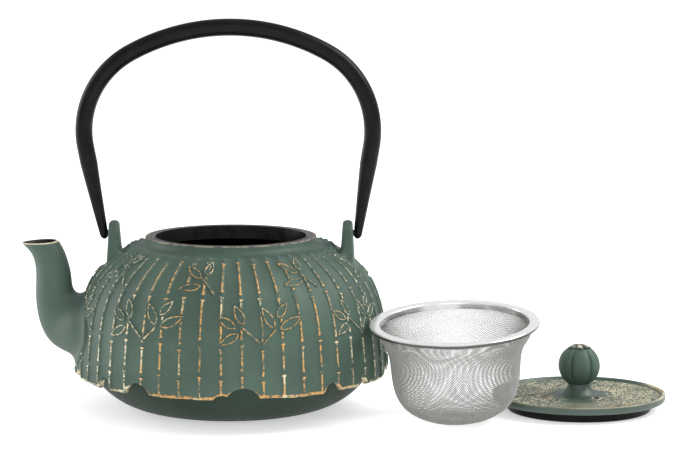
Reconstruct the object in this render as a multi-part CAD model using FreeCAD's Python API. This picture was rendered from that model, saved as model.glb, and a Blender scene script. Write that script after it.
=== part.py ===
import FreeCAD, Part
import math
import os

from FreeCAD import Vector

# Cast-iron teapot with a swinging bail, a lid and a mesh infuser basket.
# Millimetres. Origin: centre of the pot's flat foot, on the table. +Z up,
# -X towards the spout, -Y towards the side where the basket and lid stand.

# ---- pot casting ----
FOOT_R = 42.0              # flat ring that the pot stands on
BOWL_JOIN = (79.3, 29.0)   # bowl meets the inside of the skirt (r, z)
SKIRT_R = 83.4             # widest point, at the foot of the leaf skirt
SKIRT_Z = 19.0             # lower edge of the skirt
SKIRT_WALL = 3.4
SKIRT_ROUND = (0.8, 2.0)   # sloped edge of the skirt: how far in, how high
DOME_SIDE = [(82.6, 36.0), (80.6, 52.6), (73.1, 71.7)]   # outline of the dome (r, z)
BOWL_SIDE = [(54.0, 3.0), (65.5, 9.4), (74.2, 19.0)]     # outline of the bowl (r, z)
SHOULDER = (54.2, 88.5)    # dome meets the collar (r, z)
COLLAR_MID = (48.6, 89.6)  # hollow of the collar (r, z)
COLLAR_FOOT = (46.4, 91.0)
NECK_R = 45.9
NECK_TOP = 93.2
MOUTH_R = 40.6             # clear radius that the basket drops into
ENAMEL = 0.5               # lining thickness
CAVITY_R = 77.2            # widest radius of the enamelled inside
CAVITY_MID_Z = 45.0
CAVITY_FLOOR = 4.4
CAVITY_FLOOR_R = 36.0
CAVITY_ARCS = [(67.6, 72.4), (65.8, 16.6)]   # middles of its upper and lower wall (r, z)
ARC_GROW = 0.7             # share of a growth that goes each way at those middles
THROAT_GROW = 0.4
THROAT_Z = 86.0            # lower end of the straight mouth wall

# Arches in the skirt's lower edge: bearing from the front (deg), width, height
ARCHES = [(6.1, 23.0, 6.1), (41.6, 10.6, 5.4), (57.8, 8.2, 6.4), (84.0, 14.6, 6.0),
          (104.0, 9.0, 6.2), (131.0, 22.0, 6.0), (158.0, 9.5, 6.4), (176.0, 14.0, 5.6),
          (205.0, 23.0, 6.1), (232.0, 8.5, 6.2), (250.0, 10.5, 5.6), (284.0, 14.0, 6.0),
          (309.5, 9.2, 6.6), (326.1, 14.6, 6.5)]

# ---- bail lugs ----
PIVOT_Z = 94.5
LUG_IN = (58.0, 60.0)      # inner face: distance from the axis at base and top
LUG_OUT = (66.9, 65.2)     # outer face: distance from the axis at base and top
LUG_R = 7.0                # rounded top, about the pivot
LUG_BASE_HALF = 10.0       # half width where it meets the shoulder
LUG_LOW = 72.0             # foot of the lug, inside the shoulder
LUG_NARROW = (82.0, 92.5)  # heights between which it narrows
LUG_REACH = 80.0
PIN_R = 2.2
PIN_END_X = 59.6           # inner end of the pin, level with the lug's inner face
PIN_GAP = 0.1              # running clearance of the pin in its hole

# ---- bail ----
BAIL_R = 4.6               # section radius
CROWN_R = 108.4            # crown arc of the centreline
CROWN_Z = 204.8            # centreline height at the top
CROWN_HALF = 28.8          # half angle of the crown arc (deg)
CORNER_R = 48.0            # shoulder arc of the centreline
LEG_LEAN = 10.2            # inward lean of the legs (deg)
LEG_END_R = 2.3
LEG_END_X = 68.2
TAPER_START = 9.0          # straight run below the shoulder arc before the taper

# ---- spout: (inner edge x, z), (outer edge x, z), half width across ----
SPOUT = [((-70.0, 59.0), (-74.0, 24.0), 29.0),
         ((-78.5, 60.6), (-86.5, 29.5), 26.0),
         ((-84.2, 63.0), (-98.4, 36.9), 16.0),
         ((-86.0, 71.0), (-105.0, 58.0), 11.6),
         ((-87.6, 79.0), (-105.0, 75.5), 10.2),
         ((-89.8, 85.2), (-107.4, 83.8), 9.8),
         ((-92.3, 89.8), (-112.1, 88.8), 9.6)]
SPOUT_WALL = 3.2
CHANNEL_START = (-62.0, 38.0)   # the channel opens into the cavity here (x, z)
CHANNEL_HALF = 12.0        # half height of that opening
CHANNEL_LIP = (-1.2, 4.0)  # how the channel leaves the lip (x, z)
ARCH_CUT_START = 4.0       # the arch cutters start this far inside the skirt
ARCH_CUT = 14.0

# ---- infuser basket, drawn upright about its own axis, bottom at 0 ----
BASKET_AT = (118.5, -43.4)  # rim centre over the table
BASKET_TILT = (6.1, -2.0)   # it rolls over on its rounded bottom, about X and Y (deg)
RIM_OUT_R = 44.8
RIM_IN_R = 39.1
RIM_Z = 52.3                # top face of the flange
RIM_T = 0.9
RIM_ROLL_R = 1.1
COLLAR_DEPTH = 5.6
MESH_T = 0.6
MESH_TOP_R = 40.3
MESH_SHORT = 1.0           # the bell curve starts this far under the collar
MESH_SIDE = [(36.8, 40.2), (34.5, 32.2), (33.0, 18.0), (29.0, 8.6)]   # bell (r, z)
MESH_HEEL = (22.0, 3.0)
MESH_FLAT_R = 13.0
MESH_LIP_R = 42.3
CLAMP_OUT_R = 43.1          # ring that holds the mesh's turned-out lip
CLAMP_T = 0.6

# ---- lid, drawn about its own axis, standing on its flange ----
LID_AT = (187.0, -7.3)
LID_R = 46.4
LID_EDGE = (5.5, 9.3)       # lower and upper height of the rim
LID_FIELD_Z = 7.8           # pebbled field inside the raised rim
LID_UNDER_Z = 5.3
RIDGE_W = 2.6
EDGE_CUT = 1.2             # sloped lower edge of the rim: how far in
EDGE_RISE = 0.9            # and how high
RIDGE_ROUND = (0.6, 0.4)   # sloped edges of the raised ridge, outside and inside
FLANGE_R = 38.7
FLANGE_T = 2.6
FLANGE_EDGE = 0.8
BOSS_R = (10.4, 5.9)
BOSS_Z = 14.2
KNOB_R = 11.2
KNOB_Z = 23.7
CALYX_R = 6.3
CALYX_T = 1.3
PETALS = 5
PETAL_R = 0.36              # these three are shares of the calyx's radius
PETAL_AT = 0.58
CALYX_CORE = 0.62
STUD_R = 2.0
HEAD_R = 2.9
STUD_END = 0.7              # stud below the nut
WASHER = (5.0, 0.8)         # radius, thickness
NUT = (7.0, 2.4)            # across flats, height
VENT_AT = (8.6, -10.3)      # from the lid's axis
VENT_R = 1.7
CUT_PAST = 1.0              # cutters pass a face by this much

UP = Vector(0, 0, 1)
ALONG_X = Vector(1, 0, 0)
ALONG_Y = Vector(0, 1, 0)
ORIGIN = Vector(0, 0, 0)


def point(r, z):
    """A point of a section drawn in the XZ plane."""
    return Vector(r, 0, z)


def line(p, q):
    return Part.LineSegment(point(*p), point(*q)).toShape()


def arc(p, mid, q):
    return Part.Arc(point(*p), point(*mid), point(*q)).toShape()


def curve(points):
    spline = Part.BSplineCurve()
    spline.interpolate([point(*p) for p in points])
    return spline.toShape()


def turned(edges):
    """Solid of revolution about Z from a closed section."""
    face = Part.Face(Part.Wire(Part.__sortEdges__(edges)))
    return face.revolve(ORIGIN, UP, 360)


def ring_section(points):
    """Closed straight-sided section."""
    closed = points + points[:1]
    return [line(p, q) for p, q in zip(closed, closed[1:])]


def cylinder(r, z0, z1, x=0.0, y=0.0):
    return Part.makeCylinder(r, z1 - z0, Vector(x, y, z0))


def one_solid(shape):
    """The body of a boolean result, without split faces."""
    clean = shape.removeSplitter()
    return max(clean.Solids, key=lambda solid: solid.Volume)


# ---- pot ----

def dome_outline():
    """Outside of the casting, from the skirt's edge up to the mouth."""
    return [curve([(SKIRT_R, SKIRT_Z + SKIRT_ROUND[1])] + DOME_SIDE + [SHOULDER]),
            arc(SHOULDER, COLLAR_MID, COLLAR_FOOT),
            line(COLLAR_FOOT, (NECK_R, NECK_TOP))]


def pot_outer():
    """Casting without its cavity: dome, hanging skirt, bowl and foot."""
    skirt_in = SKIRT_R - SKIRT_WALL
    skirt_edge = (SKIRT_R - SKIRT_ROUND[0], SKIRT_Z)
    edges = dome_outline()
    edges += [line((NECK_R, NECK_TOP), (0, NECK_TOP)),
              line((0, NECK_TOP), (0, 0)),
              line((0, 0), (FOOT_R, 0)),
              curve([(FOOT_R, 0)] + BOWL_SIDE + [BOWL_JOIN]),
              line(BOWL_JOIN, (skirt_in, SKIRT_Z)),
              line((skirt_in, SKIRT_Z), skirt_edge),
              line(skirt_edge, (SKIRT_R, SKIRT_Z + SKIRT_ROUND[1]))]
    return turned(edges)


def cavity(grow):
    """The inside space, grown outwards; 0 is the enamel's own surface."""
    mouth = MOUTH_R + grow
    side = CAVITY_R + grow
    floor = CAVITY_FLOOR - grow
    top = (mouth, NECK_TOP + CUT_PAST)
    throat = (mouth, THROAT_Z + THROAT_GROW * grow)
    belly = (side, CAVITY_MID_Z)
    heel = (CAVITY_FLOOR_R, floor)
    out = ARC_GROW * grow
    (high_r, high_z), (low_r, low_z) = CAVITY_ARCS
    return turned([line((0, NECK_TOP + CUT_PAST), top),
                   line(top, throat),
                   arc(throat, (high_r + out, high_z + out), belly),
                   arc(belly, (low_r + out, low_z - out), heel),
                   line(heel, (0, floor)),
                   line((0, floor), (0, NECK_TOP + CUT_PAST))])


def arch(bearing, width, height):
    """Cutter for one arch in the skirt's edge, seen along the radius."""
    rise = height + CUT_PAST
    half = width / 2.0
    face = Part.Face(Part.Wire([
        Part.Arc(Vector(-half, 0, 0), Vector(0, 0, rise), Vector(half, 0, 0)).toShape(),
        Part.LineSegment(Vector(half, 0, 0), Vector(-half, 0, 0)).toShape()]))
    cutter = face.extrude(Vector(0, -ARCH_CUT, 0))
    cutter.translate(Vector(0, ARCH_CUT_START + SKIRT_WALL - SKIRT_R, SKIRT_Z - CUT_PAST))
    cutter.rotate(ORIGIN, UP, bearing)
    return cutter


def section_wire(inner, outer, half_width, inset=0.0):
    """Oval across the spout, between its inner and outer edge points."""
    a = point(*inner)
    b = point(*outer)
    centre = (a + b) * 0.5
    long_axis = (b - a) * (0.5 - inset / (b - a).Length)
    wide_axis = Vector(0, half_width - inset, 0)
    normal = long_axis.cross(wide_axis).normalize()
    stretch = FreeCAD.Matrix(long_axis.x, wide_axis.x, normal.x, centre.x,
                             long_axis.y, wide_axis.y, normal.y, centre.y,
                             long_axis.z, wide_axis.z, normal.z, centre.z,
                             0, 0, 0, 1)
    halves = []
    for side in (1, -1):
        half = Part.Arc(ALONG_X * side, Vector(0, side, 0), ALONG_X * -side).toShape()
        halves.append(half.transformGeometry(stretch))
    return Part.Wire(halves)


def spout_outer():
    return Part.makeLoft([section_wire(*row) for row in SPOUT], True)


def spout_channel():
    """Waterway from the cavity to the lip, straight on both ends."""
    rows = [section_wire(*row, inset=SPOUT_WALL) for row in SPOUT[1:]]
    half_width = SPOUT[1][2]
    start_x, start_z = CHANNEL_START
    opening = section_wire((start_x, start_z + CHANNEL_HALF), (start_x, start_z - CHANNEL_HALF),
                           half_width, SPOUT_WALL)
    first = Part.makeLoft([opening, rows[0]], True)
    lip = rows[-1].copy()
    lip.translate(Vector(CHANNEL_LIP[0], 0, CHANNEL_LIP[1]))
    last = Part.makeLoft([rows[-1], lip], True)
    return [first, Part.makeLoft(rows, True), last]


def lug_blank(side):
    """One bail lug before it is fitted to the shoulder; side is -1 or 1."""
    low = LUG_LOW
    top = PIVOT_Z + LUG_R
    outline = [Vector(0, LUG_BASE_HALF, low), Vector(0, LUG_BASE_HALF, LUG_NARROW[0]),
               Vector(0, LUG_R, LUG_NARROW[1]), Vector(0, LUG_R, PIVOT_Z)]
    mirrored = [Vector(0, -p.y, p.z) for p in reversed(outline)]
    edges = [Part.LineSegment(p, q).toShape() for p, q in zip(outline, outline[1:])]
    edges.append(Part.Arc(outline[-1], Vector(0, 0, top), mirrored[0]).toShape())
    edges += [Part.LineSegment(p, q).toShape() for p, q in zip(mirrored, mirrored[1:])]
    edges.append(Part.LineSegment(mirrored[-1], outline[0]).toShape())
    front = Part.Face(Part.Wire(edges)).extrude(Vector(side * LUG_REACH, 0, 0))
    slab = Part.Face(Part.Wire(ring_section([(side * LUG_IN[0], low), (side * LUG_OUT[0], low),
                                             (side * LUG_OUT[1], top),
                                             (side * LUG_IN[1], top)])))
    slab = slab.extrude(Vector(0, 2 * LUG_BASE_HALF, 0))
    slab.translate(Vector(0, -LUG_BASE_HALF, 0))
    hole = Part.makeCylinder(PIN_R + PIN_GAP, LUG_REACH, Vector(0, 0, PIVOT_Z), ALONG_X * side)
    return front.common(slab).cut(hole)


def pot_nodes():
    outer = pot_outer()
    channel = spout_channel()
    metal_inside = cavity(ENAMEL)
    body = outer.cut(metal_inside)
    for bearing, width, height in ARCHES:
        body = body.cut(arch(bearing, width, height))
    lining = metal_inside.cut(cavity(0)).common(cylinder(SKIRT_R, 0, NECK_TOP))
    for piece in channel:
        body = body.cut(piece)
        lining = lining.cut(piece)
    outside_only = outer.fuse(cylinder(NECK_R, 0, NECK_TOP))
    spout = spout_outer().cut(outside_only)
    for piece in channel:
        spout = spout.cut(piece)
    return {"pot_body": one_solid(body),
            "pot_lining": one_solid(lining),
            "spout": one_solid(spout),
            "lug_left": one_solid(lug_blank(-1).cut(outer)),
            "lug_right": one_solid(lug_blank(1).cut(outer))}


# ---- bail ----

def turn(centre, radius, bearing):
    """Point on a circle in the XZ plane; bearing from straight up, clockwise."""
    a = math.radians(bearing)
    return (centre[0] + radius * math.sin(a), centre[1] + radius * math.cos(a))


def bail_leg(corner_end):
    """Right leg: straight run, taper, rounded end and pin, on the +X side."""
    lean = math.radians(LEG_LEAN)
    down = Vector(-math.sin(lean), 0, -math.cos(lean))
    start = point(*corner_end)
    taper = start + down * TAPER_START
    end = point(LEG_END_X, PIVOT_Z)
    run = end - taper
    leg = Part.makeCylinder(BAIL_R, TAPER_START, start, down)
    leg = leg.fuse(Part.makeCone(BAIL_R, LEG_END_R, run.Length, taper, run))
    leg = leg.fuse(Part.makeSphere(BAIL_R, taper))
    leg = leg.fuse(Part.makeSphere(LEG_END_R, end))
    pin = Part.makeCylinder(PIN_R, LEG_END_X - PIN_END_X, Vector(PIN_END_X, 0, PIVOT_Z), ALONG_X)
    return leg.fuse(pin)


def bail_nodes():
    crown_centre = (0.0, CROWN_Z - CROWN_R)
    join = turn(crown_centre, CROWN_R, CROWN_HALF)
    corner_centre = turn(crown_centre, CROWN_R - CORNER_R, CROWN_HALF)
    corner_end = turn(corner_centre, CORNER_R, 90 + LEG_LEAN)
    corner_mid = turn(corner_centre, CORNER_R, (CROWN_HALF + 90 + LEG_LEAN) / 2)
    left = [(-p[0], p[1]) for p in (join, corner_mid, corner_end)]
    spine = Part.Wire([arc(left[2], left[1], left[0]),
                       arc(left[0], (0, CROWN_Z), join),
                       arc(join, corner_mid, corner_end)])
    lean = math.radians(LEG_LEAN)
    start_dir = Vector(-math.sin(lean), 0, math.cos(lean))
    circle = Part.Wire(Part.Circle(point(*left[2]), start_dir, BAIL_R).toShape())
    bow = spine.makePipeShell([circle], True, False)
    leg = bail_leg(corner_end)
    other = leg.mirror(ORIGIN, ALONG_X)
    return {"bail_handle": one_solid(bow.fuse([leg, other]))}


# ---- infuser basket ----

def basket_wall(r_shift):
    """Bell curve of the mesh, from under the flange to the flat bottom."""
    top = (MESH_TOP_R, RIM_Z - COLLAR_DEPTH - MESH_SHORT)
    side = [(r + r_shift, z) for r, z in [top] + MESH_SIDE]
    return side + [(MESH_HEEL[0] + r_shift, MESH_HEEL[1] - r_shift), (MESH_FLAT_R, -r_shift)]


def basket_mesh():
    """Bell of mesh whose top lip is turned out under the flange."""
    outside = basket_wall(0.0)
    inside = basket_wall(-MESH_T)
    top = RIM_Z - RIM_T
    lip_r = MESH_LIP_R
    wall_r = MESH_TOP_R
    return turned([curve(outside), curve(inside),
                   line(outside[0], (wall_r, top - MESH_T)),
                   line((wall_r, top - MESH_T), (lip_r, top - MESH_T)),
                   line((lip_r, top - MESH_T), (lip_r, top)),
                   line((lip_r, top), (wall_r - MESH_T, top)),
                   line((wall_r - MESH_T, top), inside[0]),
                   line(outside[-1], (0, 0)),
                   line((0, 0), (0, MESH_T)),
                   line((0, MESH_T), inside[-1])])


def basket_rim():
    """Flat flange with a rolled edge and a short collar inside the mesh."""
    collar_out = MESH_TOP_R - MESH_T
    roll_mid = RIM_OUT_R - RIM_ROLL_R
    flange = turned(ring_section([(RIM_IN_R, RIM_Z), (roll_mid, RIM_Z),
                                  (roll_mid, RIM_Z - RIM_T),
                                  (collar_out, RIM_Z - RIM_T),
                                  (collar_out, RIM_Z - COLLAR_DEPTH),
                                  (RIM_IN_R, RIM_Z - COLLAR_DEPTH)]))
    roll = Part.makeTorus(roll_mid, RIM_ROLL_R, Vector(0, 0, RIM_Z - RIM_ROLL_R))
    return one_solid(flange.fuse(roll).cut(basket_clamp_ring()))


def basket_clamp_ring():
    """Flat ring under the mesh's lip, hidden inside the rolled edge."""
    top = RIM_Z - RIM_T - MESH_T
    return turned(ring_section([(MESH_TOP_R, top), (CLAMP_OUT_R, top),
                                (CLAMP_OUT_R, top - CLAMP_T), (MESH_TOP_R, top - CLAMP_T)]))


def basket_nodes():
    nodes = {"infuser_rim": basket_rim(),
             "infuser_mesh": basket_mesh(),
             "infuser_clamp_ring": basket_clamp_ring()}
    lean = FreeCAD.Rotation(ALONG_Y, BASKET_TILT[1]) * FreeCAD.Rotation(ALONG_X, BASKET_TILT[0])
    for shape in nodes.values():
        shape.rotate(ORIGIN, lean.Axis, math.degrees(lean.Angle))
    lowest = min(shape.optimalBoundingBox().ZMin for shape in nodes.values())
    rim_centre = lean.multVec(Vector(0, 0, RIM_Z))
    for shape in nodes.values():
        shape.translate(Vector(BASKET_AT[0] - rim_centre.x, BASKET_AT[1] - rim_centre.y, -lowest))
    return nodes


# ---- lid ----

def lid_plate():
    low, high = LID_EDGE
    ridge_in = LID_R - RIDGE_W
    outside, inside = RIDGE_ROUND
    plate = turned(ring_section([(0, LID_UNDER_Z), (LID_R - EDGE_CUT, LID_UNDER_Z),
                                 (LID_R, low + EDGE_RISE), (LID_R, high - outside),
                                 (LID_R - outside, high), (ridge_in + inside, high),
                                 (ridge_in, LID_FIELD_Z), (BOSS_R[0], LID_FIELD_Z),
                                 (BOSS_R[1], BOSS_Z), (0, BOSS_Z)]))
    plate = plate.cut(cylinder(STUD_R, 0, BOSS_Z + CUT_PAST))
    return one_solid(plate.cut(cylinder(VENT_R, 0, BOSS_Z, *VENT_AT)))


def lid_flange():
    return turned(ring_section([(FLANGE_R, LID_UNDER_Z), (FLANGE_R, FLANGE_EDGE),
                                (FLANGE_R - FLANGE_EDGE, 0),
                                (FLANGE_R - FLANGE_T, 0), (FLANGE_R - FLANGE_T, LID_UNDER_Z)]))


def lid_knob():
    """Ball with a flat under it and a shallow seat for the calyx on top."""
    ball = Part.makeSphere(KNOB_R, Vector(0, 0, KNOB_Z))
    seat_z = KNOB_Z + math.sqrt(KNOB_R ** 2 - CALYX_R ** 2)
    ball = ball.cut(cylinder(2 * KNOB_R, 0, BOSS_Z))
    ball = ball.cut(cylinder(2 * KNOB_R, seat_z, seat_z + KNOB_R))
    return one_solid(ball.cut(cylinder(STUD_R, 0, seat_z + CUT_PAST))), seat_z


def knob_calyx(seat_z):
    """Six-petalled cap between the knob and the peened end of the stud."""
    top = seat_z + CALYX_T
    cap = cylinder(CALYX_R * CALYX_CORE, seat_z, top)
    for k in range(PETALS):
        a = 2 * math.pi * k / PETALS - math.pi / 2
        cap = cap.fuse(cylinder(CALYX_R * PETAL_R, seat_z, top,
                                CALYX_R * PETAL_AT * math.cos(a), CALYX_R * PETAL_AT * math.sin(a)))
    return one_solid(cap.cut(cylinder(STUD_R, seat_z - CUT_PAST, top + CUT_PAST)))


def hexagon(across_flats, z0, z1):
    r = across_flats / math.sqrt(3)
    corners = [Vector(r * math.cos(math.radians(60 * k)), r * math.sin(math.radians(60 * k)), z0)
               for k in range(6)]
    return Part.Face(Part.makePolygon(corners + corners[:1])).extrude(Vector(0, 0, z1 - z0))


def lid_nodes():
    knob, seat_z = lid_knob()
    washer_z = LID_UNDER_Z - WASHER[1]
    nut_z = washer_z - NUT[1]
    cap_top = seat_z + CALYX_T
    stud = cylinder(STUD_R, nut_z - STUD_END, cap_top)
    head = cylinder(HEAD_R, cap_top, KNOB_Z + KNOB_R)
    bore = cylinder(STUD_R, 0, LID_FIELD_Z)
    nodes = {"lid_plate": lid_plate(),
             "lid_flange": lid_flange(),
             "lid_knob": knob,
             "knob_calyx": knob_calyx(seat_z),
             "knob_stud": one_solid(stud.fuse(head)),
             "knob_washer": cylinder(WASHER[0], washer_z, LID_UNDER_Z).cut(bore),
             "knob_nut": hexagon(NUT[0], nut_z, washer_z).cut(bore)}
    for shape in nodes.values():
        shape.translate(Vector(LID_AT[0], LID_AT[1], 0))
    return nodes


def main():
    os.makedirs("parts", exist_ok=True)
    nodes = {}
    nodes.update(pot_nodes())
    nodes.update(bail_nodes())
    nodes.update(basket_nodes())
    nodes.update(lid_nodes())
    for name, shape in nodes.items():
        shape.exportStep("parts/" + name + ".step")


main()
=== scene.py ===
"""Looks of the teapot infuser set: cast pot, bail, strainer basket and lid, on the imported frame."""

import math

import bpy
import numpy as np
from mathutils import Matrix, Vector


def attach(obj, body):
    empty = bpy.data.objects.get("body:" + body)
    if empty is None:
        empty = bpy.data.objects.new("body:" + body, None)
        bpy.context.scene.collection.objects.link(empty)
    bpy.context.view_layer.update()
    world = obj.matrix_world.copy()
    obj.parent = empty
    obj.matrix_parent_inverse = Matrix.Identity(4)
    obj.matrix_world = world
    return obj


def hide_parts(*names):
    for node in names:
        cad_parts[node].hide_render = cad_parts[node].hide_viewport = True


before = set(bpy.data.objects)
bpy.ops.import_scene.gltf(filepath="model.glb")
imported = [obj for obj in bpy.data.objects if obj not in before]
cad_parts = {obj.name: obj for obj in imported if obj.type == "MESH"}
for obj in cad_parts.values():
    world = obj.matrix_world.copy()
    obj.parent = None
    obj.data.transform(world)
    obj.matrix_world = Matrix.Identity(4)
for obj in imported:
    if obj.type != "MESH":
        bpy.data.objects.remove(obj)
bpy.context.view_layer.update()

# ---- dimensions in millimetres and degrees, most of them the CAD part's own ----

MM = 0.001

SIDE = [(83.3, 19), (83.4, 21), (82.6, 36), (80.6, 52.6), (73.1, 71.6), (54.2, 87.7)]
COLLAR = [(54.2, 87.7), (50.6, 88.1), (48.0, 88.9), (46.4, 90.4), (45.9, 92.3)]
NECK_R = 45.9
NECK_TOP = 93.2
MOUTH_R = 40.6
SKIRT_WALL = 3.4
BOWL = [(42, 0), (54, 3), (65.5, 9.4), (74.2, 19), (79.3, 29), (80.3, 31.5)]
FOOT_R = 42.0
ARCH_FADE = 12.0    # how far up the side the rows follow the arches
ROW_STEP = 0.42
COLLAR_START = 82.8    # distance up the side
# Arches in the skirt's edge: bearing from the front in degrees, width, height.
ARCHES = [(6.5, 16.4, 6.1), (-1.2, 8, 2.4), (41.6, 10.6, 5.4), (57.8, 8.2, 6.4), (84, 14.6, 6), (104, 9, 6.2),
          (131, 22, 6), (158, 9.5, 6.4), (176, 14, 5.6), (205, 23, 6.1), (232, 8.5, 6.2),
          (250, 10.5, 5.6), (284, 14, 6), (309.5, 9.2, 6.6), (326.1, 14.6, 6.5)]

CULMS = 48
FIRST_CULM = -1.4
COLUMNS = CULMS * 28
CULM_HALF = 0.85
CULM_HEIGHT = 0.9
FLUTE = 0.3
CULM_TOP = 79.3
NODES = [(11.6, 1.9), (27.5, 2.2), (54.3, -1.4), (76.3, 0.9)]   # height up the side, step between neighbours
NODE_HALF = 1.6

PIVOT_Z = 94.5
LUG_IN = (58.0, 60.0)
LUG_OUT = (66.9, 65.2)
LUG_R = 7.0
LUG_BASE_HALF = 10.0
LUG_LOW = 66.0
LUG_MID_X = 62.5
LUG_TAPER_Z = 72
LUG_WAIST_Z = 80
LUG_TOP_ROUND = 2.2
PIN_R = 2.2
PIN_END_X = 59.7

BAIL_R = 4.6
CROWN_R = 108.4
CROWN_Z = 204.8
CROWN_HALF = 28.8
CORNER_R = 48.0
LEG_LEAN = 10.2
TAPER_START = 9.0
LEG_END_R = 2.3
LEG_END_X = 68.2
BOW_SWAY = 1.1

# Spout sections: inner edge (x, z), outer edge (x, z), half width.
SPOUT = [((-70, 59), (-74, 24), 29), ((-78.5, 60.6), (-86.5, 29.5), 26),
         ((-84.2, 63), (-98.4, 36.9), 16), ((-86, 71), (-105, 58), 11.6),
         ((-87.6, 79), (-105, 75.5), 10.2), ((-89.8, 85.2), (-107.4, 83.8), 9.8),
         ((-92.3, 89.8), (-112.1, 88.8), 9.6)]
SPOUT_WALL = 3.2
SPOUT_LIP = 1.7
CHANNEL_START = (-62.0, 38.0)
ROOT_Z = 44
ROOT_HALF = (30, 20)
BORE_Z = 43
BORE_HALF = (11, 13)

BASKET_AT = (118.5, -43.4)
BASKET_TILT = (6.1, -2.0)
RIM_OUT_R = 44.8
RIM_IN_R = 39.1
RIM_Z = 52.3
RIM_ROLL_R = 1.1
RIM_T = 0.9
COLLAR_DEPTH = 3.8
BELL = [(0, 0), (13, 0), (22, 3), (29, 8.6), (33, 18), (34.5, 32.2), (36.8, 40.2), (40.1, 45.7),
        (40.3, 51.2)]
WIRE_PITCH = 1.0
WIRE_R = 0.135
WEAVE = 0.09
WEAVE_TURN = 45

LID_AT = (187.0, -7.3)
LID_R = 46.4
LID_EDGE = (5.5, 9.3)
LID_UNDER_Z = 5.3
LID_FIELD_Z = 7.8
RIDGE_W = 2.6
BOSS_R = (10.4, 5.9)
BOSS_Z = 14.2
VENT_R = 1.7
VENT_AT = (8.6, -10.3)
KNOB_R = 11.2
KNOB_Z = 23.7
LOBES = 6
LOBE_TURN = 3.0
CALYX_R = 6.3
PETALS = 5
SEAT_Z = KNOB_Z + math.sqrt(KNOB_R ** 2 - CALYX_R ** 2)   # where the cap meets the ball
STUD_END_Z = LID_UNDER_Z - 3.9

CAMERA_AT = (0.06387, -1.4984, 0.2954)   # metres
CAMERA_DOWN = 7.649
CAMERA_LENS = 144.9
SENSOR_WIDTH = 36

rng = np.random.default_rng(11)


# ---- mesh tools ----

def through(points, count):
    """Natural cubic curve through the points, evenly spaced by chord length."""
    p = np.array(points, float)
    t = np.concatenate([[0], np.cumsum(np.linalg.norm(np.diff(p, axis=0), axis=1))])
    h = np.diff(t)
    n = len(t)
    a = np.eye(n)
    b = np.zeros_like(p)
    for i in range(1, n - 1):
        a[i, i - 1:i + 2] = h[i - 1], 2 * (h[i - 1] + h[i]), h[i]
        b[i] = 6 * ((p[i + 1] - p[i]) / h[i] - (p[i] - p[i - 1]) / h[i - 1])
    m = np.linalg.solve(a, b)
    s = np.linspace(0, t[-1], count)
    k = np.clip(np.searchsorted(t, s, side="right") - 1, 0, n - 2)
    u = (s - t[k])[:, None]
    w = h[k][:, None]
    v = w - u
    bend = (m[k] * v ** 3 + m[k + 1] * u ** 3) / (6 * w)
    return bend + (p[k] / w - m[k] * w / 6) * v + (p[k + 1] / w - m[k + 1] * w / 6) * u


def rounded(corners, steps=6):
    """Polyline through (x, y, radius) corners with each one rounded."""
    out = []
    for i, (x, y, radius) in enumerate(corners):
        here = np.array([x, y], float)
        if radius == 0 or i in (0, len(corners) - 1):
            out.append(here)
            continue
        before = np.array(corners[i - 1][:2], float) - here
        after = np.array(corners[i + 1][:2], float) - here
        room = min(radius, 0.49 * np.linalg.norm(before), 0.49 * np.linalg.norm(after))
        a = here + before / np.linalg.norm(before) * room
        b = here + after / np.linalg.norm(after) * room
        for t in np.linspace(0, 1, steps):
            out.append((1 - t) ** 2 * a + 2 * t * (1 - t) * here + t * t * b)
    return np.array(out)


def smooth(x, low, high):
    """0 below low, 1 above high, and an even curve between."""
    t = np.clip((x - low) / (high - low), 0, 1)
    return t * t * (3 - 2 * t)


def grid_faces(rows, cols, closed=False):
    """Quads of a grid that closes across its columns, and from last row to first if closed."""
    i, j = np.meshgrid(np.arange(rows if closed else rows - 1), np.arange(cols), indexing="ij")
    i2 = (i + 1) % rows
    j2 = (j + 1) % cols
    quads = np.stack([i * cols + j, i * cols + j2, i2 * cols + j2, i2 * cols + j], axis=-1)
    return quads.reshape(-1, 4)


def piece(name, points, faces, material, body, nodes, slot, sharp=None, **layers):
    """Mesh object from points in millimetres, riding on a body in place of CAD nodes.

    sharp is the angle in degrees above which an edge isn't smoothed; layers are point values
    that the material reads by name.
    """
    mesh = bpy.data.meshes.new(name)
    mesh.from_pydata((np.asarray(points).reshape(-1, 3) * MM).tolist(), [], faces.tolist())
    mesh.validate()
    for key, values in layers.items():
        layer = mesh.attributes.new(key, "FLOAT", "POINT")
        layer.data.foreach_set("value", np.asarray(values, np.float32).ravel())
    mesh.polygons.foreach_set("use_smooth", [True] * len(mesh.polygons))
    mesh.materials.append(material)
    obj = bpy.data.objects.new(name, mesh)
    bpy.context.scene.collection.objects.link(obj)
    if sharp is not None:
        mesh.set_sharp_from_angle(angle=math.radians(sharp))
    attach(obj, body)
    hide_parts(*nodes)
    return obj


def around(r, z, bearing):
    """Points of a turned surface; bearing in degrees from the front towards +X."""
    a = np.radians(bearing)
    return np.stack([r * np.sin(a), -r * np.cos(a), z + 0 * a], axis=-1)


def turned(profile, columns, place=None):
    """Grid of points from a profile of (r, z) rows, with an optional 4x4 placement."""
    bearing = np.arange(columns) * 360.0 / columns
    r = np.maximum(profile[:, 0:1], 1e-4)
    points = around(r, profile[:, 1:2], bearing[None, :])
    return points if place is None else moved(points, place)


def moved(points, place):
    """Points put through a 4x4 placement."""
    flat = np.asarray(points).reshape(-1, 3)
    m = np.array(place)
    return (flat @ m[:3, :3].T + m[:3, 3]).reshape(np.shape(points))


# ---- materials ----

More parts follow.
